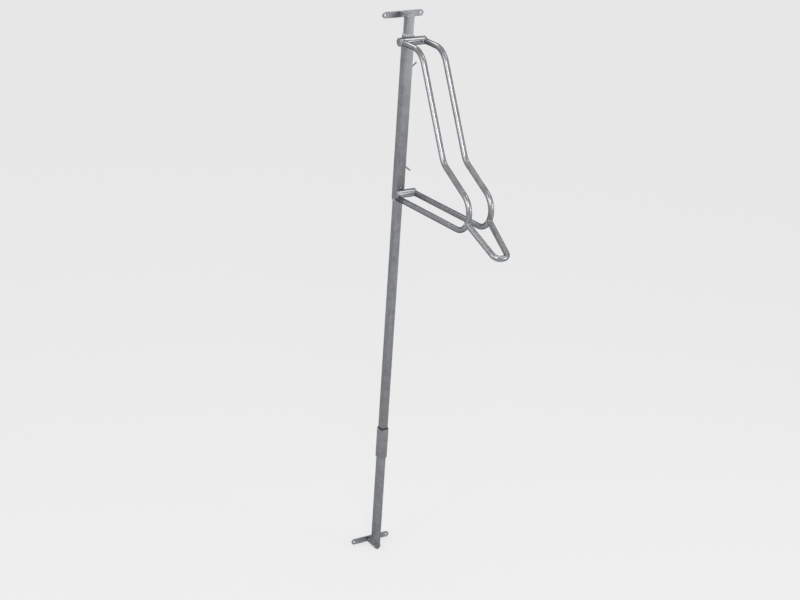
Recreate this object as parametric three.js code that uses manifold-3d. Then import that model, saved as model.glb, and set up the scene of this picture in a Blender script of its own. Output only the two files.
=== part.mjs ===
// Wall rack that keeps one bicycle upright, held by its front wheel. A square mast hangs on two wall bars.
// A carriage slides on the mast, carries the wheel cradle of bent round bar, and rests on a gas spring
// that is hidden in the mast. Lengths are millimetres and angles are degrees.
// X runs along the wall, +Y into the wall and +Z up. The origin is the centre of the bottom wall bar's
// back face, which lies on the wall. Reach is the distance from the mast's axis towards the room.
import * as THREE from "three";
import { mergeVertices } from "three/addons/utils/BufferGeometryUtils.js";
import Module from "manifold-3d";

const wasm = await Module();
wasm.setup();

// Fits
const seatGap = 0.3; // between pieces that are welded, pressed or screwed together
const runningGap = 0.15; // on each side of a sliding fit
const cutOverrun = 4; // how far a cutter passes the surface that it cuts

// Wall bars and the tongues that hold the mast between them
const barLength = 150;
const barWidth = 20;
const barThickness = 5;
const barHoleSpacing = 130;
const barHoleRadius = 4.5;
const tongueThickness = 5;
const tongueEdgeInset = 1;
const footNose = 17; // the bottom tongue's reach past the mast's front face
const mastStandOff = 40; // from the wall to the mast's axis

// Mast, of two lengths of square tube that meet inside a joint sleeve, round a spigot
const mastWidth = 25;
const mastWall = 2;
const mastCornerRadius = 3;
const lowerMastLength = 400;
const bareMastAbove = 61; // mast left bare above the carriage at rest
const jointSleeveLength = 108;
const jointSleeveWidth = 30;
const jointButtGap = 0.3;
const spigotRise = 63.7; // above the joint, up to the gas spring's foot
const spigotDrop = 60;
const jointScrewRadius = 3;
const jointScrewOffset = 30; // from the joint, up and down
const jointScrewLength = 14;
const screwHeadRadius = 5.2;
const screwHeadHeight = 3;
const stopRingWidth = 29;
const stopRingHeight = 4;

// Gas spring
const carriageTravel = 600;
const springTubeRadius = 9;
const springTubeWall = 1.5;
const springFloor = 4;
const springStudRadius = 4;
const springStudLength = 12;
const pistonHeight = 12;
const glandDepth = 15;
const glandFlange = 3;
const springRodRadius = 4;
const springEndGap = 3; // left at each end of the piston's travel, and under the carrier when it is down

// Carriage: a square sleeve on two guide bushes, with a carrier that reaches into the mast's slot
const carriageLength = 544; // with the bushes' flanges
const carriageWidth = 30;
const carriageWall = 1.5;
const carriageCornerRadius = 3;
const bushFlange = 4;
const bushSpigot = 50;
const rivetRadius = 2.5;
const rivetHeadRadius = 4.5;
const rivetHeadHeight = 1.8;
const rivetFromEnd = 42; // from the carriage's end to the rivet that holds the bush
const carrierHeight = 60;
const carrierBushGap = 6; // between the upper bush and the carrier
const carrierTongueWidth = 8.4;
const carrierBoltRadius = 2.5;
const carrierBoltLength = 14;
const carrierBoltSpacing = 20;
const carrierBoltFromTop = 10;
const boltHeadRadius = 4.5;
const boltHeadHeight = 2.8;
const rodSeatDepth = 20;

// Wheel cradle of bent tube, on two cross tubes
const cradleBarRadius = 9;
const cradleBarWall = 2;
const cradleWidth = 80; // between the side bars' axes
const crossTubeRadius = 13.4;
const crossTubeWall = 2;
const crossTubeRight = 44; // from the mast's axis to the right end of both cross tubes
const upperTubeLeft = 49;
const lowerTubeLeft = 24;
const endCapHeight = 3;
const endCapSpigot = 8;
const upperTubeDrop = 13.4; // from the carriage's top
const lowerTubeRise = 28.7; // from the carriage's bottom
const topArmReach = 143; // where the lines of the top arm and the front leg meet
const legLean = 28.1; // from the vertical
const shinLean = 62.9;
const noseReach = 464;
const noseRadius = 62;
const topBendRadius = 70;
const kneeRadius = 60;
const lowerArmRise = 13; // from the lower cross tube to the lowest point of the nose
const leftBendReach = 112; // where the left bar's lower arm turns in
const leftBendRadius = 40;

// Tyre hoop
const hoopSlope = 26; // below the horizontal
const hoopProjection = 132; // past the noses
const hoopTipWidth = 46; // between the corners of its bent end
const hoopBendRadius = 22;

// Rod with two out-turned ends on the sleeve's right side
const hookRodRadius = 2.5;
const hookRodTopDrop = 107; // from the carriage's top to the upper bend
const hookRodLength = 325;
const hookRodBendRadius = 5;
const hookUpperOut = 20;
const hookUpperRise = 16;
const hookLowerOut = 23;
const hookLowerDrop = 18;

// Facets
const roundSides = 24;
const barSides = 16;
const cornerSteps = 2;
const bendStep = 11; // degrees between the rings of a bend

const galvanised = { color: 0x9b9ea3, metalness: 0.85, roughness: 0.42 };
const brightSteel = { color: 0xb9bcc1, metalness: 0.95, roughness: 0.22 };
const darkSteel = { color: 0x3a3b3e, metalness: 0.7, roughness: 0.45 };
const nylon = { color: 0xb7bab6, metalness: 0, roughness: 0.5 };
const rubber = { color: 0x1c1c1e, metalness: 0, roughness: 0.8 };

// Heights, stacked up from the bottom bar
const halfMast = mastWidth / 2;
const halfCarriage = carriageWidth / 2;
const halfJointSleeve = jointSleeveWidth / 2;
const mastBore = mastWidth - 2 * mastWall;
const tongueTop = tongueEdgeInset + tongueThickness - barWidth / 2;
const mastBottom = tongueTop + seatGap;
const jointHeight = mastBottom + lowerMastLength;
const springFoot = jointHeight + spigotRise + seatGap;
const springTubeLength =
  springFloor + springEndGap + carriageTravel + pistonHeight + springEndGap + glandDepth;
const springTubeTop = springFoot + springTubeLength;
const glandTop = springTubeTop + glandFlange;
const carrierBottom = glandTop + springEndGap + carriageTravel;
const carrierTop = carrierBottom + carrierHeight;
const carriageTop = carrierTop + carrierBushGap + bushSpigot + bushFlange;
const carriageBottom = carriageTop - carriageLength;
const mastTop = carriageTop + bareMastAbove;
const topBarHeight = mastTop + seatGap + tongueThickness + tongueEdgeInset - barWidth / 2;
const sleeveBottom = carriageBottom + bushFlange;
const sleeveTop = carriageTop - bushFlange;

// Joins closed geometries into one, or cuts the later ones out of the first
const solidOf = (geometry) => {
  const bare = geometry.clone();
  bare.deleteAttribute("normal");
  bare.deleteAttribute("uv");
  const merged = mergeVertices(bare);
  const triVerts = new Uint32Array(merged.index.array);
  const vertProperties = merged.attributes.position.array;
  return new wasm.Manifold(new wasm.Mesh({ numProp: 3, vertProperties, triVerts }));
};

const geometryOf = (solid) => {
  const mesh = solid.getMesh();
  const geometry = new THREE.BufferGeometry();
  geometry.setAttribute("position", new THREE.BufferAttribute(mesh.vertProperties, mesh.numProp));
  geometry.setIndex(new THREE.BufferAttribute(mesh.triVerts, 1));
  geometry.computeVertexNormals();
  return geometry;
};

const cut = (body, ...tools) =>
  geometryOf(tools.reduce((left, tool) => left.subtract(solidOf(tool)), solidOf(body)));

const join = (...bodies) =>
  geometryOf(bodies.slice(1).reduce((sum, body) => sum.add(solidOf(body)), solidOf(bodies[0])));

// Outline of a square with round corners, as a shape or as a hole in one
const squareOutline = (width, radius, Outline = THREE.Shape) => {
  const flat = width / 2 - radius;
  const outline = new Outline();
  outline.absarc(flat, flat, radius, 0, Math.PI / 2);
  outline.absarc(-flat, flat, radius, Math.PI / 2, Math.PI);
  outline.absarc(-flat, -flat, radius, Math.PI, Math.PI * 1.5);
  outline.absarc(flat, -flat, radius, Math.PI * 1.5, Math.PI * 2);
  outline.closePath();
  return outline;
};

const squareBar = (width, radius, length) =>
  new THREE.ExtrudeGeometry(squareOutline(width, radius), {
    depth: length,
    bevelEnabled: false,
    curveSegments: cornerSteps,
  });

const squareTube = (width, radius, bore, boreRadius, length) => {
  const section = squareOutline(width, radius);
  section.holes.push(squareOutline(bore, boreRadius, THREE.Path));
  return new THREE.ExtrudeGeometry(section, {
    depth: length,
    bevelEnabled: false,
    curveSegments: cornerSteps,
  });
};

// Outline with two round ends, its axis along X
const slotOutline = (length, width) => {
  const radius = width / 2;
  const flat = length / 2 - radius;
  const outline = new THREE.Shape();
  outline.absarc(flat, 0, radius, -Math.PI / 2, Math.PI / 2);
  outline.absarc(-flat, 0, radius, Math.PI / 2, Math.PI * 1.5);
  outline.closePath();
  return outline;
};

// Cylinder whose axis is X, Y or Z, centred on its middle
const roundBar = (radius, length, axis) => {
  const bar = new THREE.CylinderGeometry(radius, radius, length, roundSides);
  if (axis === "x") bar.rotateZ(Math.PI / 2);
  if (axis === "z") bar.rotateX(Math.PI / 2);
  return bar;
};

const turned = (...points) =>
  new THREE.LatheGeometry(
    points.map(([radius, height]) => new THREE.Vector2(radius, height)),
    roundSides,
  ).rotateX(Math.PI / 2);

// Screw that points along -Z from the underside of a low domed head
const domedScrew = (radius, length, headRadius, headHeight) => {
  const head = new THREE.SplineCurve([
    new THREE.Vector2(headRadius, headHeight * crownShares.rim),
    new THREE.Vector2(headRadius * crownShares.shoulderOut, headHeight * crownShares.shoulderUp),
    new THREE.Vector2(0, headHeight),
  ]);
  const crown = head.getPoints(crownSteps).map((point) => [Math.max(point.x, 0), point.y]);
  return turned([0, -length], [radius, -length], [radius, 0], [headRadius, 0], ...crown);
};
const crownShares = { rim: 0.35, shoulderOut: 0.75, shoulderUp: 0.85 };
const crownSteps = 4;

// Centre line of a bent bar: straight runs joined by round bends, with a ring at each end of a straight
// run and at every step of a bend
class BentLine extends THREE.Curve {
  constructor(corners, radii) {
    super();
    this.stations = [];
    corners.forEach((corner, index) => {
      const before = corners[index - 1];
      const after = corners[index + 1];
      if (!before || !after) this.addEnd(corner, before, after);
      else this.addBend(corner, before, after, radii[index - 1]);
    });
  }

  addEnd(corner, before, after) {
    const tangent = (after ? after.clone().sub(corner) : corner.clone().sub(before)).normalize();
    this.stations.push({ point: corner.clone(), tangent });
  }

  addBend(corner, before, after, radius) {
    const into = corner.clone().sub(before).normalize();
    const out = after.clone().sub(corner).normalize();
    const turn = into.angleTo(out);
    const start = corner.clone().addScaledVector(into, -radius * Math.tan(turn / 2));
    const inward = out.clone().addScaledVector(into, -Math.cos(turn)).normalize();
    const steps = Math.ceil(THREE.MathUtils.radToDeg(turn) / bendStep);
    for (let step = 0; step <= steps; step += 1) {
      const angle = (turn * step) / steps;
      const point = start.clone().addScaledVector(into, radius * Math.sin(angle));
      point.addScaledVector(inward, radius * (1 - Math.cos(angle)));
      const tangent = into.clone().multiplyScalar(Math.cos(angle));
      tangent.addScaledVector(inward, Math.sin(angle));
      this.stations.push({ point, tangent });
    }
  }

  get rings() {
    return this.stations.length - 1;
  }

  getPointAt(share, target = new THREE.Vector3()) {
    return target.copy(this.stations[Math.round(share * this.rings)].point);
  }

  getTangentAt(share, target = new THREE.Vector3()) {
    return target.copy(this.stations[Math.round(share * this.rings)].tangent);
  }
}

const bentBar = (line, radius) =>
  new THREE.ExtrudeGeometry(new THREE.Shape().absarc(0, 0, radius, 0, Math.PI * 2), {
    steps: line.rings,
    curveSegments: barSides / 2,
    extrudePath: line,
  });

const bentTube = (line, radius, wall) => {
  const section = new THREE.Shape().absarc(0, 0, radius, 0, Math.PI * 2);
  section.holes.push(new THREE.Path().absarc(0, 0, radius - wall, 0, Math.PI * 2));
  return new THREE.ExtrudeGeometry(section, {
    steps: line.rings,
    curveSegments: barSides / 2,
    extrudePath: line,
  });
};

// Place on the cradle, seen from the side, and the same place in space
const side = (reach, height) => new THREE.Vector2(reach, height);
const at = (x, place) => new THREE.Vector3(x, -place.x, place.y);
const leaning = (lean) => {
  const angle = THREE.MathUtils.degToRad(lean);
  return side(Math.sin(angle), -Math.cos(angle));
};

// Where the line through a along alongA meets the line through b along alongB
const meet = (a, alongA, b, alongB) => {
  const between = b.clone().sub(a);
  const run = between.cross(alongB) / alongA.cross(alongB);
  return a.clone().addScaledVector(alongA, run);
};

const root = new THREE.Group();
const mast = new THREE.Group();
const carriage = new THREE.Group();
mast.position.y = -mastStandOff;
carriage.position.set(0, -mastStandOff, carriageTop);
root.add(mast, carriage);

const add = (group, name, geometry, finish, place = [0, 0, 0], turn = [0, 0, 0]) => {
  const mesh = new THREE.Mesh(geometry, new THREE.MeshStandardMaterial(finish));
  mesh.name = name;
  mesh.position.set(...place);
  mesh.rotation.set(...turn);
  group.add(mesh);
};

// Wall bars
const wallBar = () => {
  const outline = slotOutline(barLength, barWidth);
  for (const x of [-barHoleSpacing / 2, barHoleSpacing / 2]) {
    outline.holes.push(new THREE.Path().absarc(x, 0, barHoleRadius, 0, Math.PI * 2));
  }
  const plate = { depth: barThickness, bevelEnabled: false, curveSegments: roundSides / 2 };
  return new THREE.ExtrudeGeometry(outline, plate).rotateX(Math.PI / 2);
};
add(root, "bottom_wall_bar", wallBar(), galvanised);
add(root, "top_wall_bar", wallBar(), galvanised, [0, 0, topBarHeight]);

// Tongues, in the mast's frame: flat plates from the bars' front faces to the mast's two ends
const tongueBack = mastStandOff - barThickness - seatGap;
const bottomTongue = () => {
  const outline = new THREE.Shape();
  outline.moveTo(halfMast, tongueBack);
  outline.lineTo(-halfMast, tongueBack);
  outline.absarc(0, -footNose, halfMast, Math.PI, Math.PI * 2);
  outline.closePath();
  const plate = { depth: tongueThickness, bevelEnabled: false, curveSegments: roundSides / 2 };
  return new THREE.ExtrudeGeometry(outline, plate);
};
add(mast, "bottom_tongue", bottomTongue(), galvanised, [0, 0, tongueTop - tongueThickness]);

const topTongueLength = tongueBack + halfMast;
const topTongue = new THREE.BoxGeometry(mastWidth, topTongueLength, tongueThickness);
const topTongueHeight = mastTop + seatGap + tongueThickness / 2;
add(mast, "top_tongue", topTongue, galvanised, [0, tongueBack - topTongueLength / 2, topTongueHeight]);

// Mast tubes, sleeve and spigot, with the two screws that hold the joint from the right side
const screwHeights = [jointHeight - jointScrewOffset, jointHeight + jointScrewOffset];
const jointHoles = (radius, base) =>
  screwHeights.map((height) =>
    roundBar(radius, halfJointSleeve + cutOverrun, "x").translate(
      (halfJointSleeve + cutOverrun) / 2,
      0,
      height - base,
    ),
  );
const mastTube = (length) =>
  squareTube(mastWidth, mastCornerRadius, mastBore, mastCornerRadius - mastWall, length);

const lowerTube = cut(mastTube(lowerMastLength), ...jointHoles(jointScrewRadius + seatGap, mastBottom));
add(mast, "lower_mast_tube", lowerTube, galvanised, [0, 0, mastBottom]);

const slotWidth = carrierTongueWidth + 2 * seatGap;
const slotLength = carrierHeight + carriageTravel + 2 * seatGap;
const slotMiddle = (carrierTop + carrierBottom - carriageTravel) / 2;
const wallCutter = (length, width, depth) =>
  new THREE.ExtrudeGeometry(slotOutline(length, width), {
    depth,
    bevelEnabled: false,
    curveSegments: roundSides / 4,
  })
    .rotateY(Math.PI / 2)
    .rotateZ(Math.PI / 2);
const upperTubeBottom = jointHeight + jointButtGap;
const upperTube = cut(
  mastTube(mastTop - upperTubeBottom),
  wallCutter(slotLength, slotWidth, mastWidth).translate(0, 0, slotMiddle - upperTubeBottom),
  ...jointHoles(jointScrewRadius + seatGap, upperTubeBottom),
);
add(mast, "upper_mast_tube", upperTube, galvanised, [0, 0, upperTubeBottom]);

const jointSleeveBottom = jointHeight - jointSleeveLength / 2;
const jointSleeve = cut(
  squareTube(
    jointSleeveWidth,
    mastCornerRadius + seatGap,
    mastWidth + 2 * seatGap,
    mastCornerRadius + seatGap,
    jointSleeveLength,
  ),
  ...jointHoles(jointScrewRadius + seatGap, jointSleeveBottom),
);
add(mast, "joint_sleeve", jointSleeve, galvanised, [0, 0, jointSleeveBottom]);

const spigotWidth = mastBore - 2 * seatGap;
const spigotBottom = jointHeight - spigotDrop;
const spigotLength = spigotDrop + spigotRise;
const studHole = springStudLength + seatGap;
const spigot = cut(
  squareBar(spigotWidth, mastCornerRadius - mastWall, spigotLength),
  roundBar(springStudRadius + seatGap, studHole + cutOverrun, "z").translate(
    0,
    0,
    spigotLength - studHole + (studHole + cutOverrun) / 2,
  ),
  ...jointHoles(jointScrewRadius + seatGap, spigotBottom),
);
add(mast, "joint_spigot", spigot, brightSteel, [0, 0, spigotBottom]);

const jointScrew = () =>
  domedScrew(jointScrewRadius, jointScrewLength, screwHeadRadius, screwHeadHeight);
const screwSeat = halfJointSleeve + seatGap;
const facingRight = [0, Math.PI / 2, 0];
add(mast, "joint_screw_lower", jointScrew(), darkSteel, [screwSeat, 0, screwHeights[0]], facingRight);
add(mast, "joint_screw_upper", jointScrew(), darkSteel, [screwSeat, 0, screwHeights[1]], facingRight);

const stopRing = squareTube(
  stopRingWidth,
  mastCornerRadius + seatGap,
  mastWidth + 2 * seatGap,
  mastCornerRadius + seatGap,
  stopRingHeight,
);
const stopRingBottom = jointSleeveBottom + jointSleeveLength + seatGap;
add(mast, "lower_stop_ring", stopRing, rubber, [0, 0, stopRingBottom]);

// Gas spring, which stands on the spigot and pushes the carrier up
const springBore = springTubeRadius - springTubeWall;
const springTube = turned(
  [0, -springStudLength],
  [springStudRadius, -springStudLength],
  [springStudRadius, 0],
  [springTubeRadius, 0],
  [springTubeRadius, springTubeLength],
  [springBore, springTubeLength],
  [springBore, springFloor],
  [0, springFloor],
);
add(mast, "gas_spring_tube", springTube, darkSteel, [0, 0, springFoot]);

const rodBore = springRodRadius + runningGap;
const gland = turned(
  [rodBore, -glandDepth],
  [springBore - seatGap, -glandDepth],
  [springBore - seatGap, seatGap],
  [springTubeRadius, seatGap],
  [springTubeRadius, glandFlange],
  [rodBore, glandFlange],
  [rodBore, -glandDepth],
);
add(mast, "gas_spring_gland", gland, brightSteel, [0, 0, springTubeTop]);

// Carriage, whose frame hangs from its top
const pistonTop = springTubeTop - glandDepth - springEndGap - carriageTop;
const pistonBottom = pistonTop - pistonHeight;
const piston = turned(
  [springRodRadius + seatGap, 0],
  [springBore - runningGap, 0],
  [springBore - runningGap, pistonHeight],
  [springRodRadius + seatGap, pistonHeight],
  [springRodRadius + seatGap, 0],
);
add(carriage, "gas_spring_piston", piston, nylon, [0, 0, pistonBottom]);

const rodTop = carrierBottom + rodSeatDepth - carriageTop;
const rodLength = rodTop - pistonBottom;
const rod = roundBar(springRodRadius, rodLength, "z");
add(carriage, "gas_spring_rod", rod, brightSteel, [0, 0, pistonBottom + rodLength / 2]);

const carrierHead = carrierTop - carriageTop;
const carrierFoot = carrierBottom - carriageTop;
const carrierBack = halfCarriage - carriageWall - seatGap;
const boltDrops = [carrierBoltFromTop, carrierBoltFromTop + carrierBoltSpacing];
const boltHeights = boltDrops.map((drop) => carrierHead - drop);
const boltHoles = (base) =>
  boltHeights.map((height) =>
    roundBar(carrierBoltRadius + seatGap, halfCarriage + cutOverrun, "y").translate(
      0,
      (halfCarriage + cutOverrun) / 2,
      height - base,
    ),
  );
const rodSeat = rodSeatDepth + seatGap;
const carrier = cut(
  join(
    squareBar(mastBore - 2 * seatGap, mastCornerRadius - mastWall, carrierHeight),
    wallCutter(carrierHeight, carrierTongueWidth, carrierBack).translate(0, 0, carrierHeight / 2),
  ),
  roundBar(springRodRadius + seatGap, rodSeat + cutOverrun, "z").translate(
    0,
    0,
    rodSeat - (rodSeat + cutOverrun) / 2,
  ),
  ...boltHoles(carrierFoot),
);
add(carriage, "slide_carrier", carrier, darkSteel, [0, 0, carrierFoot]);

const carrierBolt = () =>
  domedScrew(carrierBoltRadius, carrierBoltLength, boltHeadRadius, boltHeadHeight);
const headSeat = halfCarriage + seatGap;
const facingBack = [-Math.PI / 2, 0, 0];
add(carriage, "carrier_bolt_upper", carrierBolt(), darkSteel, [0, headSeat, boltHeights[0]], facingBack);
add(carriage, "carrier_bolt_lower", carrierBolt(), darkSteel, [0, headSeat, boltHeights[1]], facingBack);

// Sleeve, and the bushes whose flanges close its two ends
const sleeveLength = sleeveTop - sleeveBottom;
const sleeveFoot = sleeveBottom - carriageTop;
const rivetHeights = [rivetFromEnd - carriageLength, -rivetFromEnd];
const rivetHole = (facing, height) =>
  roundBar(rivetRadius + seatGap, halfCarriage, "y").translate(0, facing * halfCarriage, height);
const sleeve = cut(
  squareTube(
    carriageWidth,
    carriageCornerRadius,
    carriageWidth - 2 * carriageWall,
    carriageCornerRadius - carriageWall,
    sleeveLength,
  ),
  rivetHole(-1, rivetHeights[0] - sleeveFoot),
  rivetHole(1, rivetHeights[1] - sleeveFoot),
  ...boltHoles(sleeveFoot),
);
add(carriage, "carriage_sleeve", sleeve, galvanised, [0, 0, sleeveFoot]);

const bushBore = mastWidth + 2 * runningGap;
const bushBody = carriageWidth - 2 * carriageWall - 2 * runningGap;
const bushRivetDepth = rivetFromEnd - bushFlange + seatGap;
const guideBush = () =>
  cut(
    join(
      squareBar(carriageWidth, carriageCornerRadius, bushFlange - seatGap),
      squareBar(bushBody, mastCornerRadius, bushSpigot).translate(0, 0, -bushSpigot),
    ),
    squareBar(bushBore, mastCornerRadius, bushSpigot + bushFlange + cutOverrun).translate(
      0,
      0,
      -bushSpigot - cutOverrun / 2,
    ),
    rivetHole(1, -bushRivetDepth),
  );
add(carriage, "upper_guide_bush", guideBush(), nylon, [0, 0, seatGap - bushFlange]);
const upsideDown = [Math.PI, 0, 0];
const lowerFlangeTop = bushFlange - seatGap - carriageLength;
add(carriage, "lower_guide_bush", guideBush(), nylon, [0, 0, lowerFlangeTop], upsideDown);

const rivetLength = seatGap + carriageWall + (carriageWidth / 2 - carriageWall - halfMast) / 2;
const rivet = () => domedScrew(rivetRadius, rivetLength, rivetHeadRadius, rivetHeadHeight);
const facingFront = [Math.PI / 2, 0, 0];
add(carriage, "bush_rivet_lower", rivet(), darkSteel, [0, -headSeat, rivetHeights[0]], facingFront);
add(carriage, "bush_rivet_upper", rivet(), darkSteel, [0, headSeat, rivetHeights[1]], facingBack);

// Cross tubes on the sleeve's front, which carry the cradle's arms, with a cap in each end
const crossReach = halfCarriage + seatGap + crossTubeRadius;
const crossTubeBore = crossTubeRadius - crossTubeWall;
const facingLeft = [0, -Math.PI / 2, 0];
const addCrossTube = (names, left, height) => {
  const tube = turned(
    [crossTubeBore, -left],
    [crossTubeRadius, -left],
    [crossTubeRadius, crossTubeRight],
    [crossTubeBore, crossTubeRight],
    [crossTubeBore, -left],
  ).rotateY(Math.PI / 2);
  const cap = () => domedScrew(crossTubeBore - seatGap, endCapSpigot, crossTubeRadius, endCapHeight);
  add(carriage, names.tube, tube, galvanised, [0, -crossReach, height]);
  add(carriage, names.left, cap(), galvanised, [-left - seatGap, -crossReach, height], facingLeft);
  add(carriage, names.right, cap(), galvanised, [crossTubeRight + seatGap, -crossReach, height], facingRight);
};
const upperTubeHeight = -upperTubeDrop;
const lowerTubeHeight = lowerTubeRise - carriageLength;
const upperNames = {
  tube: "upper_cross_tube",
  left: "upper_tube_cap_left",
  right: "upper_tube_cap_right",
};
const lowerNames = {
  tube: "lower_cross_tube",
  left: "lower_tube_cap_left",
  right: "lower_tube_cap_right",
};
addCrossTube(upperNames, upperTubeLeft, upperTubeHeight);
addCrossTube(lowerNames, lowerTubeLeft, lowerTubeHeight);

// The cradle's side view: top arm, front leg, shin, nose and lower arm
const barX = cradleWidth / 2;
const armStart = side(crossReach, upperTubeHeight);
const topCorner = side(topArmReach, upperTubeHeight);
const armEnd = side(crossReach, lowerTubeHeight);
const noseCentre = side(noseReach - noseRadius, armEnd.y + lowerArmRise + noseRadius);
const legLine = leaning(legLean);
const shinLine = leaning(shinLean);
const shinTouch = noseCentre.clone().addScaledVector(side(-shinLine.y, shinLine.x), noseRadius);
const knee = meet(topCorner, legLine, shinTouch, shinLine);
const toNose = noseCentre.clone().sub(armEnd);
const armLean = toNose.angle() - Math.asin(noseRadius / toNose.length());
const armLine = side(Math.cos(armLean), Math.sin(armLean));
const noseCorner = meet(shinTouch, shinLine, armEnd, armLine);
const armAtReach = (reach) => meet(armEnd, armLine, side(reach, 0), side(0, 1));

// Rooms that the bars' ends are coped to: the two cross tubes with what lies behind them
const loopCorners = [armStart, topCorner, knee, noseCorner];
const loopRadii = [topBendRadius, kneeRadius, noseRadius];
const crossRoomLength = 2 * (cradleWidth + crossTubeRadius);
const tubeRoom = (length, height) =>
  roundBar(crossTubeRadius + seatGap, length, "x").translate(0, -crossReach, height);
const roomBehind = (height) =>
  new THREE.BoxGeometry(crossRoomLength, crossReach, crossReach).translate(0, -crossReach / 2, height);
const upperRooms = [tubeRoom(crossRoomLength, upperTubeHeight), roomBehind(upperTubeHeight)];
const lowerRooms = [tubeRoom(crossRoomLength, lowerTubeHeight), roomBehind(lowerTubeHeight)];

// Right bar, coped to both cross tubes
const rightLine = new BentLine(
  [...loopCorners.map((place) => at(barX, place)), at(barX, armEnd)],
  loopRadii,
);
const rightBar = cut(bentTube(rightLine, cradleBarRadius, cradleBarWall), ...upperRooms, ...lowerRooms);
add(carriage, "cradle_bar_right", rightBar, galvanised);

// Left bar: its lower arm turns in under the lower cross tube and ends on the sleeve's front
const leftRootX = cradleBarRadius - halfCarriage;
const leftRootHeight = lowerTubeHeight - crossTubeRadius - cradleBarRadius - seatGap;
const leftLine = new BentLine(
  [
    ...loopCorners.map((place) => at(-barX, place)),
    at(-barX, armAtReach(leftBendReach)),
    at(leftRootX, side(0, leftRootHeight)),
  ],
  [...loopRadii, leftBendRadius],
);
const sleeveRoom = new THREE.BoxGeometry(
  carriageWidth + 2 * cradleWidth,
  carriageWidth + 2 * seatGap,
  carriageLength,
).translate(0, 0, -carriageLength / 2 - crossTubeRadius - cradleBarRadius);
const leftBar = cut(
  bentTube(leftLine, cradleBarRadius, cradleBarWall),
  ...upperRooms,
  sleeveRoom,
  lowerRooms[0],
);
add(carriage, "cradle_bar_left", leftBar, galvanised);

// Tyre hoop, which runs out from the two noses, narrows and is coped to the bars at its roots
const hoopAngle = THREE.MathUtils.degToRad(-hoopSlope);
const hoopLine = side(Math.cos(hoopAngle), Math.sin(hoopAngle));
const hoopRoot = noseCentre.clone().addScaledVector(hoopLine, noseRadius);
const hoopTip = meet(noseCentre, hoopLine, side(noseReach + hoopProjection, 0), side(0, 1));
const tipX = hoopTipWidth / 2;
const hoopCurve = new BentLine(
  [at(-barX, hoopRoot), at(-tipX, hoopTip), at(tipX, hoopTip), at(barX, hoopRoot)],
  [hoopBendRadius, hoopBendRadius],
);
const hoop = cut(
  bentTube(hoopCurve, cradleBarRadius, cradleBarWall),
  bentBar(leftLine, cradleBarRadius + seatGap),
  bentBar(rightLine, cradleBarRadius + seatGap),
);
add(carriage, "tyre_hoop", hoop, galvanised);

// Rod on the sleeve's right side, with both ends turned out
const rodX = halfCarriage + seatGap + hookRodRadius;
const rodUpper = -hookRodTopDrop;
const rodLower = rodUpper - hookRodLength;
const hookLine = new BentLine(
  [
    new THREE.Vector3(rodX + hookUpperOut, 0, rodUpper + hookUpperRise),
    new THREE.Vector3(rodX, 0, rodUpper),
    new THREE.Vector3(rodX, 0, rodLower),
    new THREE.Vector3(rodX + hookLowerOut, 0, rodLower - hookLowerDrop),
  ],
  [hookRodBendRadius, hookRodBendRadius],
);
add(carriage, "side_hook_rod", bentBar(hookLine, hookRodRadius), galvanised);

export default root;
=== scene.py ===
import math

import bmesh
import bpy
from mathutils import Matrix, Vector


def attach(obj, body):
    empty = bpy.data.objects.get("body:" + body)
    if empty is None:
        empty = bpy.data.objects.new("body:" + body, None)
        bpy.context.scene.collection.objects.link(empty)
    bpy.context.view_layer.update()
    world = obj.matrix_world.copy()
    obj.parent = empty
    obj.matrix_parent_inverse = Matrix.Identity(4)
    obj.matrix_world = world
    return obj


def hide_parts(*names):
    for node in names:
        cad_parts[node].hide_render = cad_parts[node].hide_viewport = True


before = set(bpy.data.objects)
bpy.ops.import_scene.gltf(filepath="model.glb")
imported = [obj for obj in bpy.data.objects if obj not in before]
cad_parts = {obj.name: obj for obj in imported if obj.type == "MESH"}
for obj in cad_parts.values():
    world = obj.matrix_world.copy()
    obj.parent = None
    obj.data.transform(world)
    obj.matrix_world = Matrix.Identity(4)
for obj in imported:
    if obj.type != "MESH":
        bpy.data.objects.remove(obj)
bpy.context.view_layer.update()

# Lengths are millimetres in the part's frame, +Y backwards and +Z up. Reach is measured forwards from the mast's axis.
mm = 0.001
standOff = 40


def spot(x, reach, height):
    return Vector((x, -standOff - reach, height))


# The camera stands where the photograph was taken from. Angles are degrees, and only farthest is in metres.
view = {
    "place": (-2876.5, -4519.8, 3124.0), "azimuth": 33.022, "elevation": 22.417, "roll": 3.803,
    "lens": 78.15, "sensor": 36, "farthest": 200,
}


def addCamera():
    azimuth, elevation, roll = (math.radians(view[k]) for k in ("azimuth", "elevation", "roll"))
    flat = math.cos(elevation)
    ahead = Vector((math.sin(azimuth) * flat, math.cos(azimuth) * flat, -math.sin(elevation)))
    level = Vector((math.cos(azimuth), -math.sin(azimuth), 0))
    below = ahead.cross(level)
    right = level * math.cos(roll) - below * math.sin(roll)
    down = level * math.sin(roll) + below * math.cos(roll)
    data = bpy.data.cameras.new("camera")
    data.lens = view["lens"]
    data.sensor_width = view["sensor"]
    data.clip_end = view["farthest"]
    camera = bpy.data.objects.new("camera", data)
    turn = Matrix((right, -down, -ahead)).transposed().to_4x4()
    camera.matrix_world = Matrix.Translation(Vector(view["place"]) * mm) @ turn
    bpy.context.scene.collection.objects.link(camera)
    bpy.context.scene.camera = camera


addCamera()
print("camera placed")


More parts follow.
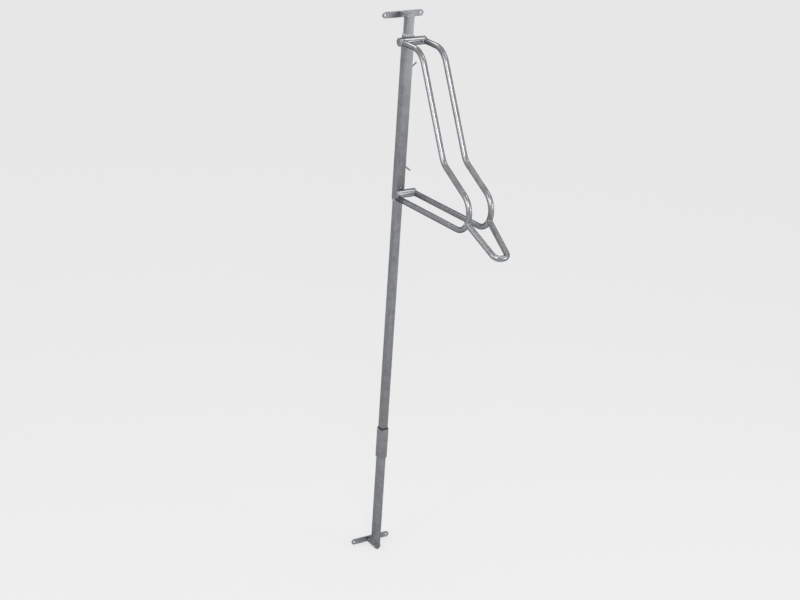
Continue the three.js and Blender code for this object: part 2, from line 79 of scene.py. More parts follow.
# Shader maths: a Value is a socket that knows the node tree it belongs to
class Value:
    def __init__(self, paint, socket):
        self.paint, self.socket = paint, socket

    def math(self, operation, first, second):
        return self.paint.node("ShaderNodeMath", {"operation": operation}, {0: first, 1: second})

    def __add__(self, other):
        return self.math("ADD", self, other)

    def __radd__(self, other):
        return self.math("ADD", other, self)

    def __sub__(self, other):
        return self.math("SUBTRACT", self, other)

    def __rsub__(self, other):
        return self.math("SUBTRACT", other, self)

    def __mul__(self, other):
        return self.math("MULTIPLY", self, other)

    def __rmul__(self, other):
        return self.math("MULTIPLY", other, self)

    def clamped(self):
        return self.paint.node("ShaderNodeMath", {"operation": "ADD", "use_clamp": True}, {0: self, 1: 0.0})


class Paint:
    def __init__(self, owner, kind="BSDF_PRINCIPLED"):
        owner.use_nodes = True
        self.tree = owner.node_tree
        self.shader = next(n for n in self.tree.nodes if n.type == kind)

    def node(self, kind, settings=None, feeds=None, output=0):
        made = self.tree.nodes.new(kind)
        for key, value in (settings or {}).items():
            setattr(made, key, value)
        for key, value in (feeds or {}).items():
            self.feed(made.inputs[key], value)
        return Value(self, made.outputs[output])

    def feed(self, socket, value):
        if isinstance(value, Value):
            self.tree.links.new(value.socket, socket)
        else:
            socket.default_value = value

    def shade(self, **sockets):
        for key, value in sockets.items():
            self.feed(self.shader.inputs[key.replace("_", " ")], value)

    def place(self, stretch=(1, 1, 1)):
        seat = self.node("ShaderNodeTexCoord", output=3)
        return self.node("ShaderNodeMapping", {}, {"Vector": seat, "Scale": stretch})

    def noise(self, scale, detail=2.0, rough=0.5, at=None):
        feeds = {"Scale": scale, "Detail": detail, "Roughness": rough, "Vector": at or self.place()}
        return self.node("ShaderNodeTexNoise", {}, feeds)

    def band(self, low, high, value):
        feeds = {"Value": value, "From Min": low, "From Max": high}
        return self.node("ShaderNodeMapRange", {"interpolation_type": "SMOOTHSTEP"}, feeds)

    def blend(self, share, first, second):
        return self.node("ShaderNodeMix", {"data_type": "RGBA"}, {0: share, 6: first, 7: second}, output=2)

    def bump(self, height, depth, strength=0.5):
        return self.node("ShaderNodeBump", {}, {"Height": height, "Distance": depth * mm, "Strength": strength})


# Galvanised steel: zinc crystals, clouds, drawn streaks and a fine grain. Where something slides on it, it is rubbed
# bright. Scales are per metre, and the looks below hold what differs from piece to piece.
zincDetail = {
    "warpScale": 0.7, "warp": (0.006, 0.006, 0.006), "grain": 900.0, "grainDepth": 0.25,
    "roughTone": 0.10, "roughClouds": 0.22, "roughGrain": 0.12, "bumpTone": 0.15, "bumpGrain": 0.5, "bumpClouds": 0.8,
    "rubFade": 60, "rubLines": (900, 900, 4), "rubBand": (0.5, 0.62), "rubLighter": 0.3, "rubSmoother": 0.12,
}


def zinc(name, look):
    paint, detail = Paint(bpy.data.materials.new(name)), zincDetail
    seat = paint.place()
    warp = paint.noise(look["crystals"] * detail["warpScale"], at=seat)
    feeds = {0: warp, 1: detail["warp"], 2: seat}
    bent = paint.node("ShaderNodeVectorMath", {"operation": "MULTIPLY_ADD"}, feeds)
    cells = paint.node("ShaderNodeTexVoronoi", {}, {"Vector": bent, "Scale": look["crystals"]}, output=1)
    tone = paint.node("ShaderNodeSeparateColor", {}, {0: cells})
    clouds = paint.noise(look["clouds"], 4.0, 0.6)
    streaks = paint.noise(1.0, 3.0, 0.6, paint.place(look["streaks"]))
    grain = paint.noise(detail["grain"], 2.0, 0.7)
    share = (tone - 0.5) * look["crystalDepth"] + (clouds - 0.5) * look["cloudDepth"]
    share = share + (streaks - 0.5) * look["streakDepth"] + (grain - 0.5) * detail["grainDepth"] + 0.5
    rough = (tone - 0.5) * detail["roughTone"] + (clouds - 0.5) * detail["roughClouds"]
    rough = rough + (grain - 0.5) * detail["roughGrain"] + look["rough"]
    if "rubbed" in look:
        height = paint.node("ShaderNodeSeparateXYZ", {}, {0: seat}, output=2)
        (low, high), fade = look["rubbed"], detail["rubFade"]
        risen = paint.band(low * mm, (low + fade) * mm, height)
        zone = risen * (1 - paint.band((high - fade) * mm, high * mm, height))
        lines = paint.band(*detail["rubBand"], paint.noise(1.0, at=paint.place(detail["rubLines"])))
        share = share + zone * lines * detail["rubLighter"]
        rough = rough - zone * lines * detail["rubSmoother"]
    relief = tone * detail["bumpTone"] + grain * detail["bumpGrain"] + clouds * detail["bumpClouds"]
    paint.shade(
        Base_Color=paint.blend(share.clamped(), look["dark"], look["light"]),
        Metallic=look["metal"],
        Roughness=rough.clamped(),
        Normal=paint.bump(relief, look["relief"]),
        Specular_Tint=look["edge"],
    )
    return bpy.data.materials[name]


mastLook = {
    "crystals": 75.0, "crystalDepth": 0.4, "clouds": 12.0, "cloudDepth": 0.8,
    "streaks": (60, 60, 3), "streakDepth": 0.5,
    "dark": (0.160, 0.168, 0.180, 1), "light": (0.310, 0.320, 0.335, 1), "metal": 0.6, "rough": 0.46, "relief": 0.12,
    "edge": (0.6, 0.6, 0.62, 1),
}
slideLook = {**mastLook, "rubbed": (660, 1300)}
tubeLook = {
    "crystals": 95.0, "crystalDepth": 0.35, "clouds": 14.0, "cloudDepth": 0.8,
    "streaks": (90, 40, 40), "streakDepth": 0.35,
    "dark": (0.205, 0.213, 0.227, 1), "light": (0.375, 0.384, 0.398, 1), "metal": 0.9, "rough": 0.27, "relief": 0.015,
    "edge": (0.06, 0.06, 0.07, 1),
}
plateLook = {
    "crystals": 85.0, "crystalDepth": 0.5, "clouds": 22.0, "cloudDepth": 0.9,
    "streaks": (20, 60, 60), "streakDepth": 0.4,
    "dark": (0.175, 0.183, 0.197, 1), "light": (0.36, 0.37, 0.385, 1), "metal": 0.75, "rough": 0.38, "relief": 0.10,
    "edge": (0.75, 0.75, 0.77, 1),
}
weldLook = {
    "crystals": 240.0, "crystalDepth": 0.4, "clouds": 120.0, "cloudDepth": 1.0,
    "streaks": (300, 300, 300), "streakDepth": 0.4,
    "dark": (0.25, 0.26, 0.27, 1), "light": (0.52, 0.53, 0.54, 1), "metal": 0.8, "rough": 0.4, "relief": 0.15,
    "edge": (0.8, 0.8, 0.8, 1),
}

# Ground and blackened steel, with the fine marks that turning leaves
steelDetail = {
    "clouds": 60.0, "cloudDepth": 1.2, "markDepth": 0.7, "grain": 1500.0, "roughClouds": 0.2, "roughGrain": 0.1,
    "bumpMarks": 0.6, "bumpGrain": 0.4, "relief": 0.04,
}


def turnedSteel(name, look):
    paint, detail = Paint(bpy.data.materials.new(name)), steelDetail
    clouds = paint.noise(detail["clouds"], 4.0, 0.6)
    marks = paint.noise(1.0, at=paint.place(look["marks"]))
    grain = paint.noise(detail["grain"], 2.0, 0.6)
    share = (clouds - 0.5) * detail["cloudDepth"] + (marks - 0.5) * detail["markDepth"] + 0.5
    rough = (clouds - 0.5) * detail["roughClouds"] + (grain - 0.5) * detail["roughGrain"] + look["rough"]
    paint.shade(
        Base_Color=paint.blend(share.clamped(), look["dark"], look["light"]),
        Metallic=look["metal"],
        Roughness=rough.clamped(),
        Normal=paint.bump(marks * detail["bumpMarks"] + grain * detail["bumpGrain"], detail["relief"]),
    )
    return bpy.data.materials[name]


groundLook = {
    "dark": (0.5, 0.51, 0.53, 1), "light": (0.7, 0.71, 0.73, 1), "metal": 1.0, "rough": 0.2, "marks": (20, 20, 900),
}
blackLook = {
    "dark": (0.02, 0.021, 0.023, 1), "light": (0.07, 0.071, 0.075, 1), "metal": 0.7, "rough": 0.4,
    "marks": (200, 200, 200),
}

# Moulded nylon and rubber, with a fine matt texture and a little dust
mouldDetail = {
    "clouds": 45.0, "cloudDepth": 1.3, "grain": 1600.0, "grainDepth": 0.5, "roughClouds": 0.15, "relief": 0.06,
}


def moulded(name, look):
    paint, detail = Paint(bpy.data.materials.new(name)), mouldDetail
    clouds = paint.noise(detail["clouds"], 4.0, 0.6)
    grain = paint.noise(detail["grain"], 3.0, 0.7)
    share = (clouds - 0.5) * detail["cloudDepth"] + (grain - 0.5) * detail["grainDepth"] + 0.5
    paint.shade(
        Base_Color=paint.blend(share.clamped(), look["dark"], look["light"]),
        Roughness=((clouds - 0.5) * detail["roughClouds"] + look["rough"]).clamped(),
        Normal=paint.bump(grain, detail["relief"]),
    )
    return bpy.data.materials[name]


nylonLook = {"dark": (0.30, 0.305, 0.31, 1), "light": (0.42, 0.425, 0.43, 1), "rough": 0.32}
rubberLook = {"dark": (0.012, 0.012, 0.013, 1), "light": (0.035, 0.035, 0.037, 1), "rough": 0.65}

finishes = {
    "mast": (zinc("mastZinc", mastLook), "galvanised_steel"),
    "slide": (zinc("slideZinc", slideLook), "galvanised_steel"),
    "tube": (zinc("tubeZinc", tubeLook), "galvanised_steel"),
    "plate": (zinc("plateZinc", plateLook), "galvanised_steel"),
    "weld": (zinc("weldZinc", weldLook), "galvanised_steel"),
    "ground": (turnedSteel("groundSteel", groundLook), "bright_steel"),
    "black": (turnedSteel("blackSteel", blackLook), "dark_steel"),
    "nylon": (moulded("mouldedNylon", nylonLook), "nylon"),
    "rubber": (moulded("blackRubber", rubberLook), "rubber"),
}
print("finishes made")


# Meshes are built in millimetres and turned into metres when the piece is added
def addPiece(name, shape, finish, body, replaced=(), turn=None, crease=35):
    if isinstance(shape, bpy.types.Mesh):
        mesh = shape
        mesh.name = name
    else:
        mesh = meshOf(name, shape)
    if turn is not None:
        mesh.transform(turn)
    mesh.transform(Matrix.Scale(mm, 4))
    mesh.shade_smooth()
    mesh.set_sharp_from_angle(angle=math.radians(crease))
    mesh.materials.clear()
    mesh.materials.append(finishes[finish][0])
    piece = bpy.data.objects.new(name, mesh)
    bpy.context.scene.collection.objects.link(piece)
    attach(piece, body)
    if replaced:
        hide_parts(*replaced)


def meshOf(name, shape, nearest=0.0005):
    points, faces = shape
    mesh = bpy.data.meshes.new(name)
    mesh.from_pydata([tuple(point) for point in points], [], faces)
    clean = bmesh.new()
    clean.from_mesh(mesh)
    bmesh.ops.remove_doubles(clean, verts=clean.verts, dist=nearest)
    bmesh.ops.recalc_face_normals(clean, faces=clean.faces)
    clean.to_mesh(mesh)
    clean.free()
    return mesh


# Skin over rings of equally many points. A closed one joins its last ring to its first.
def loft(rings, closed=False):
    count = len(rings[0])
    points = [point for ring in rings for point in ring]
    faces = []
    for r in range(len(rings) if closed else len(rings) - 1):
        s = (r + 1) % len(rings)
        for k in range(count):
            n = (k + 1) % count
            faces.append((r * count + k, r * count + n, s * count + n, s * count + k))
    if not closed:
        faces.append(tuple(range(count - 1, -1, -1)))
        faces.append(tuple((len(rings) - 1) * count + k for k in range(count)))
    return points, faces


# Turned shape about Z. A profile entry is (radius, height), or (radius, height, flats) for a ring with flats, as in a
# hexagon socket.
def turned(profile, sides=48, closed=False):
    rings = []
    for radius, height, *flats in profile:
        ring = []
        for k in range(sides):
            angle = 2 * math.pi * k / sides
            out = radius
            if flats:
                step = 2 * math.pi / flats[0]
                out = radius / math.cos((angle + step / 2) % step - step / 2)
            ring.append(Vector((out * math.cos(angle), out * math.sin(angle), height)))
        rings.append(ring)
    return loft(rings, closed)


# Moves a shape that was made about Z to a place, with its Z along a direction
def facing(place, direction):
    turn = Vector((0, 0, 1)).rotation_difference(Vector(direction))
    return Matrix.Translation(place) @ turn.to_matrix().to_4x4()


def squareRing(width, radius, height, steps=6):
    half = width / 2 - radius
    ring = []
    for quarter, (sx, sy) in enumerate(((1, 1), (-1, 1), (-1, -1), (1, -1))):
        for k in range(steps + 1):
            angle = (quarter + k / steps) * math.pi / 2
            ring.append(Vector((sx * half + radius * math.cos(angle), sy * half + radius * math.sin(angle), height)))
    return ring


# An eased edge, as (rise, inset) from the end of the tube, in shares of the ease
easedEdge = ((0, 2), (0.3, 0.6), (1, 0))


def squareTube(size, run, ease=0.35):
    bottom, top = run

    def eased(end, inward):
        rings = []
        for rise, inset in easedEdge:
            width, radius = size["width"] - inset * ease, size["radius"] - inset / 2 * ease
            rings.append(squareRing(width, radius, end + inward * rise * ease))
        return rings

    first, last = (squareRing(size["bore"], size["boreRadius"], end) for end in run)
    return loft([first, *eased(bottom, 1), *reversed(eased(top, -1)), last], closed=True)


# Flat plate from closed outlines, the first one outside and the rest holes, with eased edges all round
def plate(name, outlines, thickness, ease):
    curve = bpy.data.curves.new(name, "CURVE")
    curve.dimensions = "2D"
    curve.fill_mode = "BOTH"
    curve.extrude = thickness / 2 - ease
    curve.bevel_depth = ease
    curve.bevel_resolution = 2
    curve.offset = -ease
    for outline in outlines:
        spline = curve.splines.new("POLY")
        spline.points.add(len(outline) - 1)
        for point, (x, y) in zip(spline.points, outline):
            point.co = (x, y, 0, 1)
        spline.use_cyclic_u = True
    blank = bpy.data.objects.new(name, curve)
    bpy.context.scene.collection.objects.link(blank)
    mesh = bpy.data.meshes.new_from_object(blank.evaluated_get(bpy.context.evaluated_depsgraph_get()))
    bpy.data.objects.remove(blank)
    return mesh


def arc(x, y, radius, start, end, steps=24):
    angles = [math.radians(start + (end - start) * k / steps) for k in range(steps + 1)]
    return [(x + radius * math.cos(a), y + radius * math.sin(a)) for a in angles]


# Bend of a given radius between two straight runs, as points and directions along it
def bendAt(before, corner, after, radius, steps=None, bendStep=3):
    into, out = (corner - before).normalized(), (after - corner).normalized()
    bend = into.angle(out)
    start = corner - into * (radius * math.tan(bend / 2))
    inward = (out - into * math.cos(bend)).normalized()
    steps = steps or math.ceil(math.degrees(bend) / bendStep)
    stations = []
    for step in range(steps + 1):
        a = bend * step / steps
        point = start + into * (radius * math.sin(a)) + inward * (radius * (1 - math.cos(a)))
        stations.append((point, into * math.cos(a) + inward * math.sin(a)))
    return stations


def rounded(corners, radii, steps=6):
    corners = [Vector(corner) for corner in corners]
    outline = []
    for k, radius in enumerate(radii):
        bend = bendAt(corners[k - 1], corners[k], corners[(k + 1) % len(corners)], radius, steps)
        outline += [tuple(point) for point, _ in bend]
    return outline


def roundHole(x, y, radius, sides=40):
    return arc(x, y, radius, 360, 0, sides)[:-1]


# Cuts another mesh out of a mesh
def carve(mesh, cutter):
    blank, tool = bpy.data.objects.new("blank", mesh), bpy.data.objects.new("tool", cutter)
    for made in (blank, tool):
        bpy.context.scene.collection.objects.link(made)
    cut = blank.modifiers.new("cut", "BOOLEAN")
    cut.object, cut.operation, cut.solver = tool, "DIFFERENCE", "EXACT"
    carved = bpy.data.meshes.new_from_object(blank.evaluated_get(bpy.context.evaluated_depsgraph_get()))
    for made in (blank, tool):
        bpy.data.objects.remove(made)
    return carved


# Centre line of a bent tube: straight runs joined by round bends, as (point, direction) stations
def bentLine(corners, radii, bendStep=3, runStep=25):
    stations = [(corners[0], (corners[1] - corners[0]).normalized())]
    for before, corner, after, radius in zip(corners, corners[1:], corners[2:], radii):
        bend = bendAt(before, corner, after, radius, bendStep=bendStep)
        addRun(stations, bend[0][0], runStep)
        stations += bend
    addRun(stations, corners[-1], runStep)
    stations.append((corners[-1], (corners[-1] - corners[-2]).normalized()))
    return stations


def addRun(stations, end, runStep):
    start, along = stations[-1]
    steps = max(1, round((end - start).length / runStep))
    for step in range(1, steps):
        stations.append((start.lerp(end, step / steps), along))


# Round section along stations. radius is a number, or a function of the distance along the line. The trims shift the
# points of the first and last ring.
def sweep(stations, radius, sides, closed=False, upward=None, trims=(None, None)):
    up = upward or stations[0][1].orthogonal().normalized()
    rings, travelled, before = [], 0, stations[0][0]
    for point, along in stations:
        travelled += (point - before).length
        before = point
        up = ((upward or up) - along * (upward or up).dot(along)).normalized()
        across = along.cross(up)
        size = radius(travelled) if callable(radius) else radius
        angles = [2 * math.pi * k / sides for k in range(sides)]
        rings.append([point + up * (size * math.cos(a)) + across * (size * math.sin(a)) for a in angles])
    for ring, trim in zip((0, -1), trims):
        if trim:
            rings[ring] = [trim(point) for point in rings[ring]]
    return loft(rings, closed)


# Weld bead along a path of points: overlapping ripples with a slight wander, thinner at its two ends
weld = {
    "pitch": 1.7, "ripple": 0.16, "step": 0.4, "sides": 10, "crease": 60,
    "wander": 0.05, "wanderRate": 0.55, "wanderPhase": 9, "endShare": 0.55,
}


def addWeld(name, path, radius, body, closed=False, upward=None):
    if closed:
        path = [*path, path[0]]
    lengths = [(b - a).length for a, b in zip(path, path[1:])]
    total = sum(lengths)
    ripples = max(2, round(total / weld["pitch"]))
    steps = max(4, round(total / weld["step"]))
    places = []
    for step in range(steps if closed else steps + 1):
        left, index = total * step / steps, 0
        while index < len(lengths) - 1 and left > lengths[index]:
            left -= lengths[index]
            index += 1
        places.append(path[index].lerp(path[index + 1], left / lengths[index]))
    stations = []
    for index, place in enumerate(places):
        ahead = places[(index + 1) % len(places)] if closed else places[min(index + 1, len(places) - 1)]
        behind = places[index - 1] if closed else places[max(index - 1, 0)]
        stations.append((place, (ahead - behind).normalized()))

    def size(travelled):
        wave = abs(math.sin(math.pi * ripples * travelled / total))
        wander = weld["wander"] * math.sin(travelled * weld["wanderRate"] + radius * weld["wanderPhase"])
        fromEnd, least = min(travelled, total - travelled) / radius, weld["endShare"]
        taper = 1 if closed else min(1, least + (1 - least) * fromEnd)
        return radius * taper * (1 - weld["ripple"] / 2 + weld["ripple"] * wave + wander)

    addPiece(name, sweep(stations, size, weld["sides"], closed, upward), "weld", body, crease=weld["crease"])


# Slides a point along a line until gap() is nothing there
def slide(point, along, gap, far, halvings=32):
    near, beyond = 0.0, far
    for _ in range(halvings):
        middle = (near + beyond) / 2
        if gap(point + along * middle) > 0:
            near = middle
        else:
            beyond = middle
    return point + along * beyond


# Where the skin of a round limb meets another surface
def seam(centre, along, radius, gap, far, count):
    up = along.orthogonal().normalized()
    across = along.cross(up)
    angles = [2 * math.pi * k / count for k in range(count)]
    return [slide(centre + (up * math.cos(a) + across * math.sin(a)) * radius, along, gap, far) for a in angles]


# Copes a limb's end to a surface, a little way under its skin, but never longer than it is
def coped(along, gap, depth=0.4, most=30):
    return lambda point: slide(point - along * most, along, lambda p: gap(p) + depth, most)


print("tools ready")

# End bars and the plates that hold the mast between them
wallBar = {
    "length": 150, "width": 20, "thickness": 5, "holes": (-65, 65), "holeRadius": 4.5, "ease": 0.6,
    "nodes": {"wallBarBottom": ("bottom_wall_bar", 0), "wallBarTop": ("top_wall_bar", 1880.6)},
}
footPlate = {
    "node": "bottom_tongue", "corners": [(12.5, 34.7), (-12.5, 34.7), (-12.5, -26.5), (-5, -29.5), (12.5, -14)],
    "radii": [1, 1, 4, 4, 5], "thickness": 5, "middle": -6.5, "ease": 0.5, "mastEnd": -3.7, "inward": 1,
}
headPlate = {
    "node": "top_tongue", "corners": [(12.5, 34.7), (-12.5, 34.7), (-12.5, -12.5), (12.5, -12.5)],
    "radii": [1, 1, 1.5, 1.5], "thickness": 5, "middle": 1887.1, "ease": 0.5, "mastEnd": 1884.3, "inward": -1,
}
plateSeams = {
    "half": 11.8,
    "Inner": {"side": 1, "radius": 1.9, "y": -6.2, "lift": 1.1},
    "Outer": {"side": -1, "radius": 0.85, "y": -5.4, "lift": 0},
}
mastSeam = {"width": 25.4, "corner": 3.2, "lift": 0.4, "radius": 1.3}


def addWallBars():
    half, end, thickness = wallBar["width"] / 2, wallBar["length"] / 2 - wallBar["width"] / 2, wallBar["thickness"]
    outline = arc(end, 0, half, -90, 90) + arc(-end, 0, half, 90, 270)
    holes = [roundHole(x, 0, wallBar["holeRadius"]) for x in wallBar["holes"]]
    for name, (node, height) in wallBar["nodes"].items():
        bar = plate(name, [outline, *holes], thickness, wallBar["ease"])
        turn = Matrix.Translation((0, -thickness / 2, height)) @ Matrix.Rotation(math.radians(90), 4, "X")
        addPiece(name, bar, "plate", "mast", [node], turn)


def addEndPlate(name, size):
    shape = plate(name, [rounded(size["corners"], size["radii"])], size["thickness"], size["ease"])
    addPiece(name, shape, "plate", "mast", [size["node"]], Matrix.Translation((0, -standOff, size["middle"])))
    for place in ("Inner", "Outer"):
        bead = plateSeams[place]
        height = size["middle"] + bead["side"] * size["inward"] * (size["thickness"] / 2 + bead["lift"])
        path = [Vector((x, bead["y"], height)) for x in (-plateSeams["half"], plateSeams["half"])]
        addWeld(name + "Seam" + place, path, bead["radius"], "mast")
    height = size["mastEnd"] + mastSeam["lift"] * size["inward"]
    ring = [point + Vector((0, -standOff, 0)) for point in squareRing(mastSeam["width"], mastSeam["corner"], height)]
    addWeld(name + "MastSeam", ring, mastSeam["radius"], "mast", closed=True, upward=Vector((0, 0, 1)))


addWallBars()
addEndPlate("footPlate", footPlate)
addEndPlate("headPlate", headPlate)
print("wall bars and end plates made")

# Mast: two lengths of square tube in a joint sleeve, with a slot in the back of the upper one
mast = {
    "tube": {"width": 25, "radius": 3, "bore": 21, "boreRadius": 1},
    "lowerRun": (-3.7, 396.3), "upperRun": (396.6, 1884.3),
    "slot": {"width": 9, "bottom": 1103.0, "top": 1763.6, "cut": (5, 20)},
    "sleeve": {"width": 30, "radius": 3.3, "bore": 25.6, "boreRadius": 3.2},
    "sleeveRun": (342.3, 450.3), "sleeveEase": 0.6,
    "ring": {"width": 29, "radius": 3.3, "bore": 25.6, "boreRadius": 3.2},
    "ringRun": (450.6, 454.6), "ringEase": 0.8,
}
atMast = Matrix.Translation((0, -standOff, 0))


def slotCutter():
    slot, radius = mast["slot"], mast["slot"]["width"] / 2
    outline = arc(0, slot["top"] - radius, radius, 0, 180) + arc(0, slot["bottom"] + radius, radius, 180, 360)
    return meshOf("slot", loft([[Vector((x, y, z)) for x, z in outline] for y in slot["cut"]]))


def addMast():
    addPiece("mastLower", squareTube(mast["tube"], mast["lowerRun"]), "mast", "mast", ["lower_mast_tube"], atMast)
    upper = carve(meshOf("upper", squareTube(mast["tube"], mast["upperRun"])), slotCutter())
    addPiece("mastUpper", upper, "slide", "mast", ["upper_mast_tube"], atMast)
    joint = squareTube(mast["sleeve"], mast["sleeveRun"], mast["sleeveEase"])
    addPiece("jointSleeve", joint, "mast", "mast", ["joint_sleeve"], atMast)
    ring = squareTube(mast["ring"], mast["ringRun"], mast["ringEase"])
    addPiece("stopRing", ring, "rubber", "mast", ["lower_stop_ring"], atMast)


addMast()
print("mast made")

# Round fastenings on the sleeves' faces, each turned about Z with its head's underside at 0
socketScrew = [
    (0, -10), (3, -10), (3, 0), (5.0, 0), (5.2, 0.2), (5.2, 0.9), (4.9, 1.7), (4.1, 2.4), (3.2, 2.85), (2.5, 3.0),
    (2.15, 2.95, 6), (1.95, 2.7, 6), (1.95, 1.2, 6), (1.1, 0.9), (0, 0.8),
]
buttonBolt = [
    (0, -10), (2.5, -10), (2.5, 0), (4.3, 0), (4.5, 0.2), (4.5, 0.8), (4.2, 1.6), (3.5, 2.3), (2.7, 2.7), (2.1, 2.8),
    (1.75, 2.75, 6), (1.6, 2.5, 6), (1.6, 1.1, 6), (0.9, 0.8), (0, 0.7),
]
blindRivet = [
    (0, -1.5), (2.5, -1.5), (2.5, 0), (4.4, 0), (4.5, 0.15), (4.3, 0.6), (3.6, 1.2), (2.6, 1.65), (1.7, 1.8),
    (1.35, 1.7), (1.2, 1.3), (1.2, 0.9), (0.9, 1.0), (0, 1.1),
]
faceOut = 15.3
rightward, backward, forward = Vector((1, 0, 0)), Vector((0, 1, 0)), Vector((0, -1, 0))
fastenings = [
    ("jointScrewLower", "joint_screw_lower", socketScrew, "black", "mast", rightward, 366.3),
    ("jointScrewUpper", "joint_screw_upper", socketScrew, "black", "mast", rightward, 426.3),
    ("carrierBoltUpper", "carrier_bolt_upper", buttonBolt, "black", "carriage", backward, 1753.3),
    ("carrierBoltLower", "carrier_bolt_lower", buttonBolt, "black", "carriage", backward, 1733.3),
    ("rivetLower", "bush_rivet_lower", blindRivet, "plate", "carriage", forward, 1321.3),
    ("rivetUpper", "bush_rivet_upper", blindRivet, "plate", "carriage", backward, 1781.3),
]
for name, node, profile, finish, body, direction, height in fastenings:
    addPiece(name, turned(profile), finish, body, [node], facing(spot(0, 0, height) + direction * faceOut, direction))
print("fastenings made")

# Gas spring in the mast, seen through the slot
springTube = [
    (0, 448.3), (4, 448.3), (4, 460.3), (8.2, 460.3), (9, 461.1), (9, 1096.9), (8.6, 1097.3), (7.5, 1097.3),
    (7.5, 464.3), (0, 464.3),
]
springRod = [(0, 1067.3), (4, 1067.3), (4, 1722.9), (3.6, 1723.3), (0, 1723.3)]
hidden = {
    "joint_spigot": "ground", "gas_spring_gland": "ground", "gas_spring_piston": "nylon", "slide_carrier": "black",
}
addPiece("springTube", turned(springTube), "black", "mast", ["gas_spring_tube"], atMast)
addPiece("springRod", turned(springRod), "ground", "carriage", ["gas_spring_rod"], atMast)
for node, finish in hidden.items():
    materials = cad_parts[node].data.materials
    materials.clear()
    materials.append(finishes[finish][0])
print("gas spring made")

# Carriage sleeve and the flanged bushes in its ends
sleeve = {"width": 30, "radius": 3, "bore": 27, "boreRadius": 1.5}
sleeveRun = (1283.3, 1819.3)
bush = {
    "flange": 30, "radius": 3, "flangeHeight": 3.7, "ease": 0.7, "step": 0.2, "lip": 4.2, "lipWidth": 27.2,
    "lipEase": 0.3, "spigot": 26.7, "depth": 50, "bore": 25.3, "bottom": 1279.3, "top": 1823.3,
}


def bushShape():
    ease, top, bore, flange = bush["ease"], bush["flangeHeight"], bush["bore"], bush["flange"]
    lipTop, lipWidth, lipEase = top + bush["lip"], bush["lipWidth"], bush["lipEase"]
    profile = [
        (bore, -bush["depth"]), (bush["spigot"], -bush["depth"]), (bush["spigot"], 0), (flange - lipEase, 0),
        (flange, bush["step"]), (flange, top - ease), (flange - 0.6 * ease, top - 0.3 * ease), (flange - 2 * ease, top),
        (lipWidth, lipTop - lipEase), (lipWidth - 2 * lipEase, lipTop), (bore, lipTop),
    ]
    return loft([squareRing(width, bush["radius"], height) for width, height in profile], closed=True)


addPiece("carriageSleeve", squareTube(sleeve, sleeveRun), "mast", "carriage", ["carriage_sleeve"], atMast)
upperSeat = Matrix.Translation(spot(0, 0, bush["top"] - bush["flangeHeight"]))
lowerSeat = Matrix.Translation(spot(0, 0, bush["bottom"] + bush["flangeHeight"])) @ Matrix.Rotation(math.pi, 4, "X")
addPiece("bushUpper", bushShape(), "nylon", "carriage", ["upper_guide_bush"], upperSeat)
addPiece("bushLower", bushShape(), "nylon", "carriage", ["lower_guide_bush"], lowerSeat)
print("carriage made")

# Cross tubes on the sleeve's front, with pressed caps in their ends. A seam runs between two places across the sleeve.
crossTube = {
    "radius": 13.4, "wall": 2, "reach": 28.7, "right": 44, "ease": 0.3, "capGap": 0.3, "sides": 64,
    "seamRadius": 2.2, "seamReach": 16.4, "seamLift": 8.6, "full": [(-13.2, 13.2)], "parted": [(-13.2, -6), (6, 13.2)],
}
upperTube, lowerTube = {"left": -49, "height": 1809.9}, {"left": -24, "height": 1308.0}
pressedCap = [
    (0, -8), (11.1, -8), (11.1, 0), (13.2, 0), (13.4, 0.25), (13.35, 1.0), (12.9, 1.6), (11.6, 2.15), (9.6, 2.5),
    (6.5, 2.8), (3.2, 2.95), (0, 3.0),
]


def addCrossTube(name, node, size, over):
    r, ease, sides, reach = (crossTube[k] for k in ("radius", "ease", "sides", "reach"))
    left, right, bore, height = size["left"], crossTube["right"], r - crossTube["wall"], size["height"]
    profile = [
        (bore, left), (r - ease, left), (r, left + ease), (r, right - ease), (r - ease, right), (bore, right),
    ]
    shape = turned(profile, sides, closed=True)
    addPiece(name, shape, "tube", "carriage", [node + "_cross_tube"], facing(spot(0, reach, height), rightward))
    for side, way, end in (("Left", -1, left), ("Right", 1, right)):
        seat = facing(spot(end + way * crossTube["capGap"], reach, height), rightward * way)
        cap = node + "_tube_cap_" + side.lower()
        addPiece(name + "Cap" + side, turned(pressedCap, sides), "tube", "carriage", [cap], seat)
    for place, way, runs in (("Over", 1, over), ("Under", -1, crossTube["full"])):
        for index, ends in enumerate(runs):
            path = [spot(x, crossTube["seamReach"], height + way * crossTube["seamLift"]) for x in ends]
            addWeld(name + "Seam" + place + str(index), path, crossTube["seamRadius"], "carriage")


addCrossTube("crossTubeUpper", "upper", upperTube, crossTube["full"])
addCrossTube("crossTubeLower", "lower", lowerTube, crossTube["parted"])
print("cross tubes made")

# Cradle: two loops of bent tube, and the hoop on their noses. Leans are degrees from straight down, forwards.
cradle = {
    "radius": 9, "half": 40, "topReach": 143, "topBend": 70, "legLean": 28.1, "shinLean": 62.9, "kneeBend": 60,
    "noseReach": 464, "noseBend": 62, "armRise": 13, "leftTurn": 112, "leftBend": 40, "sides": 40,
    "leftRoot": -6, "rootGap": 0.3, "rootFront": 14.9, "hoopSlope": 26, "hoopTip": 596, "hoopTipHalf": 23,
    "hoopBend": 22, "weldRadius": 2.0, "weldPoints": 72, "weldEdge": 0.5, "searchBefore": 40, "searchRun": 42,
}


# In a loop's plane, X is the reach and Y the height
def crossing(a, alongA, b, alongB):
    between = b - a
    run = (between.x * alongB.y - between.y * alongB.x) / (alongA.x * alongB.y - alongA.y * alongB.x)
    return a + alongA * run


def leaning(lean):
    return Vector((math.sin(math.radians(lean)), -math.cos(math.radians(lean))))


def at(x, place):
    return spot(x, place.x, place.y)


